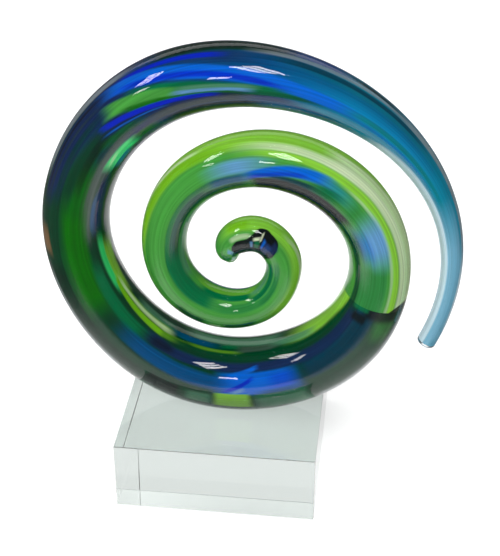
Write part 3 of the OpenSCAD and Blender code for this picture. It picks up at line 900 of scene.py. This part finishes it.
class KORU_OT_coloured_cores(bpy.types.Operator):
    """Lay the aqua, emerald and lime sections end to end inside the casing"""
    bl_idname = "koru.coloured_cores"
    bl_label = "Coloured cores"

    def execute(self, context):
        scene = context.scene
        rod = Rod(scene.koru_sizes)
        t = steps(CORE_FIRST, rod.aqua_last)
        aqua = carved(rod, "aqua_section", t, full_round(t), depths=0)
        hand_over(aqua, "aqua_core", "aqua_glass",
                  streaked_glass("tail glass", TAIL_BASE, TAIL_STREAKS + SHOULDER_STREAKS, scene))
        t = steps(rod.aqua_last, rod.lime_first)
        emerald = notched_core(rod, "emerald_section", t, outer_edges(rod, t))
        hand_over(emerald, "emerald_core", "emerald_glass",
                  streaked_glass("shoulder glass", BELLY_BASE, SHOULDER_STREAKS + CROOK_STREAKS, scene),
                  streaked_glass("belly glass", BELLY_BASE, CROOK_STREAKS + BELLY_STREAKS, scene))
        t = steps(rod.lime_first, CORE_LAST)
        lime = notched_core(rod, "lime_section", t, inner_edges(rod, t))
        hand_over(lime, "lime_core", "lime_glass",
                  streaked_glass("curl glass", CURL_BASE, CURL_STREAKS, scene))
        return {"FINISHED"}


class KORU_OT_outer_ribbons(bpy.types.Operator):
    """Lay the cobalt and lime ribbons into the emerald section"""
    bl_idname = "koru.outer_ribbons"
    bl_label = "Outer ribbons"

    def execute(self, context):
        rod = Rod(context.scene.koru_sizes)
        # Ribbons are fused with the body round them, so the same streaks run across both
        glasses = bpy.data.materials["shoulder glass"], bpy.data.materials["belly glass"]
        t = steps(rod.aqua_last, rod.lime_first)
        for (node, slot, _, _), edges in zip(OUTER_RIBBONS, outer_edges(rod, t)):
            hand_over(ribbon_strip(rod, node + "_strip", t, *edges), node, slot, *glasses)
        return {"FINISHED"}


class KORU_OT_inner_ribbons(bpy.types.Operator):
    """Lay the milky line and the cobalt lining into the lime section"""
    bl_idname = "koru.inner_ribbons"
    bl_label = "Inner ribbons"

    def execute(self, context):
        rod = Rod(context.scene.koru_sizes)
        t = steps(rod.lime_first, CORE_LAST)
        milk_edges, lining_edges = inner_edges(rod, t)
        glass = bpy.data.materials["curl glass"]
        milk = ribbon_strip(rod, "milk_line", t, *milk_edges)
        hand_over(milk, "milk_ribbon", "milk_glass", glass)
        lining = ribbon_strip(rod, "cobalt_lining_strip", t, *lining_edges, parts=36)
        hand_over(lining, "cobalt_lining", "cobalt_glass", glass)
        return {"FINISHED"}


def direction(azimuth, elevation):
    """Unit vector from the object: azimuth from the front towards the right."""
    azimuth, elevation = math.radians(azimuth), math.radians(elevation)
    return Vector((math.sin(azimuth) * math.cos(elevation), -math.cos(azimuth) * math.cos(elevation),
                   math.sin(elevation)))


def area_lamp(name, place, facing, width, height, power):
    """Lamp that does not show through the glass."""
    light = bpy.data.lights.new(name, "AREA")
    light.shape = "RECTANGLE"
    light.size = width
    light.size_y = height
    light.energy = power
    lamp = bpy.data.objects.new(name, light)
    bpy.context.collection.objects.link(lamp)
    lamp.location = place
    lamp.rotation_euler = facing.to_euler()
    lamp.visible_transmission = False
    return lamp


def soft_key(azimuth, elevation, size, level, distance=2):
    """Large soft lamp that shades the colours but leaves no reflection of its own."""
    away = direction(azimuth, elevation)
    key = area_lamp("soft_key", LAMP_AIM + away * distance, away.to_track_quat("Z", "Y"), size, size,
                    level * (math.pi * distance) ** 2)
    key.visible_glossy = False


def window(name, azimuth, elevation, pane, height, radiance, roll=0, panes=1, gap=0, gleaming=None,
           distance=1.2):
    """Row of bright panes that shows as a highlight only, on all pieces or on the gleaming ones alone.

    Widths and heights are angles, as seen from the point that the lamps face.
    """
    away = direction(azimuth, elevation)
    facing = away.to_track_quat("Z", "Y") @ Quaternion((0, 0, 1), math.radians(roll))
    wide, high = distance * math.radians(pane), distance * math.radians(height)
    for i in range(panes):
        aside = distance * math.radians((i - (panes - 1) / 2) * (pane + gap))
        place = LAMP_AIM + away * distance + facing @ Vector((aside, 0, 0))
        lamp = area_lamp(name, place, facing, wide, high, radiance * math.pi * wide * high)
        lamp.visible_diffuse = False
        lamp.light_linking.receiver_collection = gleaming


class KORU_OT_stage(bpy.types.Operator):
    """Set the pale floor, the windows, the dark cards and the camera"""
    bl_idname = "koru.stage"
    bl_label = "Stage"

    def execute(self, context):
        scene = context.scene
        scene.view_settings.view_transform = "Standard"
        self.make_floor()
        self.make_room()
        self.make_world(scene)
        soft_key(azimuth=-18, elevation=50, size=1.4, level=0.75)
        rod = bpy.data.collections.new("rod")
        rod.objects.link(bpy.data.objects["glass_casing"])
        window("window_left", azimuth=-59, elevation=41, pane=2.1, height=16, radiance=14, roll=28,
               panes=3, gap=0.7)
        window("window_front", azimuth=6, elevation=46, pane=3.4, height=18, radiance=15, roll=32,
               panes=3, gap=1.5)
        window("sill_left", azimuth=-42, elevation=24, pane=7, height=4, radiance=12, gleaming=rod)
        window("sill_front", azimuth=-7, elevation=15, pane=6, height=5, radiance=14, gleaming=rod)
        lens = bpy.data.cameras.new("camera")
        lens.lens = CAMERA_LENS
        lens.sensor_width = CAMERA_SENSOR
        camera = bpy.data.objects.new("camera", lens)
        context.collection.objects.link(camera)
        camera.location = CAMERA_PLACE
        camera.rotation_euler = (math.radians(CAMERA_TILT), 0, math.radians(CAMERA_PAN))
        scene.camera = camera
        return {"FINISHED"}

    def make_floor(self):
        deselect()
        bpy.ops.mesh.primitive_plane_add(size=6)
        floor = bpy.context.object
        floor.name = "floor"
        material = matt("pale floor", grey=0.8)
        bench = NodeBench(material)
        glow = bench.add("ShaderNodeEmission")
        bench.feed(glow.inputs["Strength"], bench.maths("MULTIPLY", bench.seen(), FLOOR_GLOW))
        bench.surface("ShaderNodeAddShader", bench.shader.outputs[0], glow.outputs[0])
        floor.data.materials.append(material)

    def make_room(self):
        card = matt("dark card", grey=0.12)
        soft = self.feathered(card)
        for name, place, turn, size in CARDS:
            low = "low" in name
            deselect()
            bpy.ops.mesh.primitive_plane_add(size=1, location=place,
                                             rotation=[math.radians(angle) for angle in turn])
            plane = bpy.context.object
            plane.name = name
            plane.scale = (*size, 1)
            plane.data.materials.append(soft if low else card)
            plane.visible_transmission = not low
            plane.visible_camera = False
            plane.visible_diffuse = False
            plane.visible_shadow = False

    def feathered(self, card):
        """Copy of the card's material that fades out towards the card's edges."""
        soft = card.copy()
        soft.name = "feathered card"
        bench = NodeBench(soft)
        where = bench.add("ShaderNodeTexCoord")
        split = bench.add("ShaderNodeSeparateXYZ", where.outputs["Object"])
        across, along = [bench.remap(bench.maths("ABSOLUTE", side), *CARD_FADE, 1, 0, smooth=True)
                         for side in split.outputs[:2]]
        nothing = bench.add("ShaderNodeBsdfTransparent")
        bench.surface("ShaderNodeMixShader", bench.maths("MULTIPLY", across, along), nothing.outputs[0],
                      bench.shader.outputs[0])
        return soft

    def make_world(self, scene):
        world = bpy.data.worlds.new("studio")
        scene.world = world
        bench = NodeBench(world)
        sky = world.node_tree.nodes["Background"]
        bench.feed(sky.inputs["Strength"], bench.remap(bench.seen(), 0, 1, ROOM_LIGHT, 1))
        sky.inputs["Color"].default_value = (1, 1, 1, 1)


class KORU_PT_panel(bpy.types.Panel):
    """Sidebar panel that lists the pieces in the order in which they are made"""
    bl_idname = "KORU_PT_panel"
    bl_label = "Koru spiral"
    bl_space_type = "VIEW_3D"
    bl_region_type = "UI"
    bl_category = "Koru"

    def draw(self, context):
        for operator in OPERATORS:
            self.layout.operator(operator.bl_idname)
        for group in (context.scene.koru_sizes, context.scene.koru_colours):
            for name in group.__annotations__:
                self.layout.prop(group, name)


OPERATORS = (KORU_OT_base_block, KORU_OT_adhesive_bond, KORU_OT_clear_casing, KORU_OT_coloured_cores,
             KORU_OT_outer_ribbons, KORU_OT_inner_ribbons, KORU_OT_stage)
CLASSES = (KoruSizes, KoruColours, *OPERATORS, KORU_PT_panel)


def register():
    for entry in CLASSES:
        bpy.utils.register_class(entry)
    bpy.types.Scene.koru_sizes = PointerProperty(type=KoruSizes)
    bpy.types.Scene.koru_colours = PointerProperty(type=KoruColours)


def unregister():
    del bpy.types.Scene.koru_sizes
    del bpy.types.Scene.koru_colours
    for entry in reversed(CLASSES):
        bpy.utils.unregister_class(entry)


def main():
    register()
    bpy.ops.koru.base_block()
    bpy.ops.koru.adhesive_bond()
    bpy.ops.koru.clear_casing()
    bpy.ops.koru.coloured_cores()
    bpy.ops.koru.outer_ribbons()
    bpy.ops.koru.inner_ribbons()
    bpy.ops.koru.stage()


if __name__ == "__main__":
    main()
